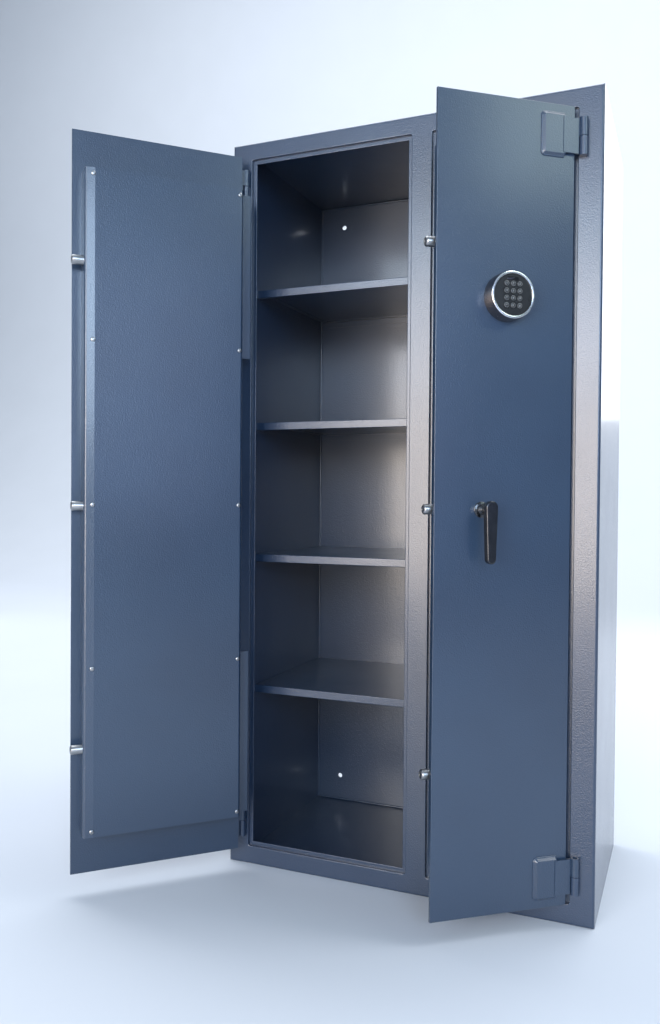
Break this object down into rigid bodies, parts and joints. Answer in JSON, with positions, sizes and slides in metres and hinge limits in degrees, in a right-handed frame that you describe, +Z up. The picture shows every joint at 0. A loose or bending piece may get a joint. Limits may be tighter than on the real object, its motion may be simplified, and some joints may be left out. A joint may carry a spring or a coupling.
{
  "type": "gun safe",
  "caption": "Upright steel gun safe divided into a shelved compartment and one with a rack for long guns, each behind its own hinged door with boltwork, lever and keypad lock.",
  "frame": {"origin": "centre of the cabinet's base, on the surface it stands on", "axes": "+Z up, the doors are on the -Y side, +X to the right when facing the doors"},
  "size_m": [0.9406, 0.7165, 1.5],
  "materials": {
    "cabinet_paint": "dark slate blue textured powder coat",
    "door_paint": "dark slate blue textured powder coat",
    "zinc_steel": "turned, zinc plated",
    "lever_metal": "satin graphite",
    "keypad_metal": "polished graphite chrome",
    "keypad_plastic": "satin black",
    "key_rubber": "matt",
    "lock_alloy": "die cast"
  },
  "bodies": {
    "cabinet": {"front_frame": "cabinet_paint", "side_panel_left": "cabinet_paint", "side_panel_right": "cabinet_paint", "top_panel": "cabinet_paint", "bottom_panel": "cabinet_paint", "back_panel": "cabinet_paint", "partition": "cabinet_paint", "shelf_1": "cabinet_paint", "shelf_2": "cabinet_paint", "shelf_3": "cabinet_paint", "shelf_4": "cabinet_paint", "shelf_rests": "cabinet_paint", "barrel_rack": "cabinet_paint", "door_stop_left": "cabinet_paint", "door_stop_right": "cabinet_paint", "frame_knuckles_left": "cabinet_paint", "frame_knuckles_right": "cabinet_paint"},
    "left_door": {"left_door_plate": "door_paint", "left_door_cover": "door_paint", "left_cover_rails": "door_paint", "left_cover_screws": "zinc_steel", "left_hinge_leaves": "door_paint", "left_dead_bars": "door_paint", "left_handle_rose": "lever_metal", "left_lock_case": "lock_alloy", "left_keypad_housing": "keypad_metal", "left_keypad_face": "keypad_plastic", "left_key_mat": "key_rubber"},
    "left_handle": {"left_lever": "lever_metal", "left_spindle": "zinc_steel"},
    "left_boltwork": {"left_bolts": "zinc_steel", "left_bolt_bar": "zinc_steel"},
    "left_lock_bolt": {"left_lock_bolt": "zinc_steel"},
    "right_door": {"right_door_plate": "door_paint", "right_door_cover": "door_paint", "right_cover_rails": "door_paint", "right_cover_screws": "zinc_steel", "right_hinge_leaves": "door_paint", "right_dead_bars": "door_paint", "right_handle_rose": "lever_metal", "right_lock_case": "lock_alloy", "right_keypad_housing": "keypad_metal", "right_keypad_face": "keypad_plastic"},
    "right_handle": {"right_lever": "lever_metal", "right_spindle": "zinc_steel"},
    "right_boltwork": {"right_bolts": "zinc_steel", "right_bolt_bar": "zinc_steel"},
    "right_lock_bolt": {"right_lock_bolt": "zinc_steel"},
    "right_key_01": {"right_key_01": "key_rubber"},
    "right_key_02": {"right_key_02": "key_rubber"},
    "right_key_03": {"right_key_03": "key_rubber"},
    "right_key_04": {"right_key_04": "key_rubber"},
    "right_key_05": {"right_key_05": "key_rubber"},
    "right_key_06": {"right_key_06": "key_rubber"},
    "right_key_07": {"right_key_07": "key_rubber"},
    "right_key_08": {"right_key_08": "key_rubber"},
    "right_key_09": {"right_key_09": "key_rubber"},
    "right_key_10": {"right_key_10": "key_rubber"},
    "right_key_11": {"right_key_11": "key_rubber"},
    "right_key_12": {"right_key_12": "key_rubber"}
  },
  "joints": [
    {"name": "left_door_hinge", "type": "hinge", "parent": "cabinet", "child": "left_door", "pos_m": [-0.336, -0.218, 0.751], "axis": [0, 0, -1], "range_deg": [-133.4, 26.6]},
    {"name": "left_handle_turn", "type": "hinge", "parent": "left_door", "child": "left_handle", "pos_m": [-0.5102, -0.41386, 0.749], "axis": [-0.7266, 0.6871, 0], "range_deg": [0, 60]},
    {"name": "left_bolt_slide", "type": "slide", "parent": "left_door", "child": "left_boltwork", "axis": [0.6871, 0.7266, 0], "range_m": [0, 0.022]},
    {"name": "left_lock_bolt_slide", "type": "slide", "parent": "left_door", "child": "left_lock_bolt", "axis": [0, 0, 1], "range_m": [-0.012, 0]},
    {"name": "right_door_hinge", "type": "hinge", "parent": "cabinet", "child": "right_door", "pos_m": [0.336, -0.218, 0.751], "axis": [0, 0, 1], "range_deg": [-39.2, 120.8]},
    {"name": "right_handle_turn", "type": "hinge", "parent": "right_door", "child": "right_handle", "pos_m": [0.18603, -0.32999, 0.749], "axis": [-0.632, 0.7749, 0], "range_deg": [0, 60]},
    {"name": "right_bolt_slide", "type": "slide", "parent": "right_door", "child": "right_boltwork", "axis": [0.7749, 0.632, 0], "range_m": [0, 0.022]},
    {"name": "right_lock_bolt_slide", "type": "slide", "parent": "right_door", "child": "right_lock_bolt", "axis": [0, 0, 1], "range_m": [-0.012, 0]},
    {"name": "right_key_01_press", "type": "slide", "parent": "right_door", "child": "right_key_01", "axis": [-0.632, 0.7749, 0], "range_m": [0, 0.001], "stiffness_N_per_m": 300},
    {"name": "right_key_02_press", "type": "slide", "parent": "right_door", "child": "right_key_02", "axis": [-0.632, 0.7749, 0], "range_m": [0, 0.001], "stiffness_N_per_m": 300},
    {"name": "right_key_03_press", "type": "slide", "parent": "right_door", "child": "right_key_03", "axis": [-0.632, 0.7749, 0], "range_m": [0, 0.001], "stiffness_N_per_m": 300},
    {"name": "right_key_04_press", "type": "slide", "parent": "right_door", "child": "right_key_04", "axis": [-0.632, 0.7749, 0], "range_m": [0, 0.001], "stiffness_N_per_m": 300},
    {"name": "right_key_05_press", "type": "slide", "parent": "right_door", "child": "right_key_05", "axis": [-0.632, 0.7749, 0], "range_m": [0, 0.001], "stiffness_N_per_m": 300},
    {"name": "right_key_06_press", "type": "slide", "parent": "right_door", "child": "right_key_06", "axis": [-0.632, 0.7749, 0], "range_m": [0, 0.001], "stiffness_N_per_m": 300},
    {"name": "right_key_07_press", "type": "slide", "parent": "right_door", "child": "right_key_07", "axis": [-0.632, 0.7749, 0], "range_m": [0, 0.001], "stiffness_N_per_m": 300},
    {"name": "right_key_08_press", "type": "slide", "parent": "right_door", "child": "right_key_08", "axis": [-0.632, 0.7749, 0], "range_m": [0, 0.001], "stiffness_N_per_m": 300},
    {"name": "right_key_09_press", "type": "slide", "parent": "right_door", "child": "right_key_09", "axis": [-0.632, 0.7749, 0], "range_m": [0, 0.001], "stiffness_N_per_m": 300},
    {"name": "right_key_10_press", "type": "slide", "parent": "right_door", "child": "right_key_10", "axis": [-0.632, 0.7749, 0], "range_m": [0, 0.001], "stiffness_N_per_m": 300},
    {"name": "right_key_11_press", "type": "slide", "parent": "right_door", "child": "right_key_11", "axis": [-0.632, 0.7749, 0], "range_m": [0, 0.001], "stiffness_N_per_m": 300},
    {"name": "right_key_12_press", "type": "slide", "parent": "right_door", "child": "right_key_12", "axis": [-0.632, 0.7749, 0], "range_m": [0, 0.001], "stiffness_N_per_m": 300}
  ],
  "couplings": [
    {"joint": "left_bolt_slide", "follows": "left_handle_turn", "m_per_rad": 0.021},
    {"joint": "right_bolt_slide", "follows": "right_handle_turn", "m_per_rad": 0.021}
  ]
}
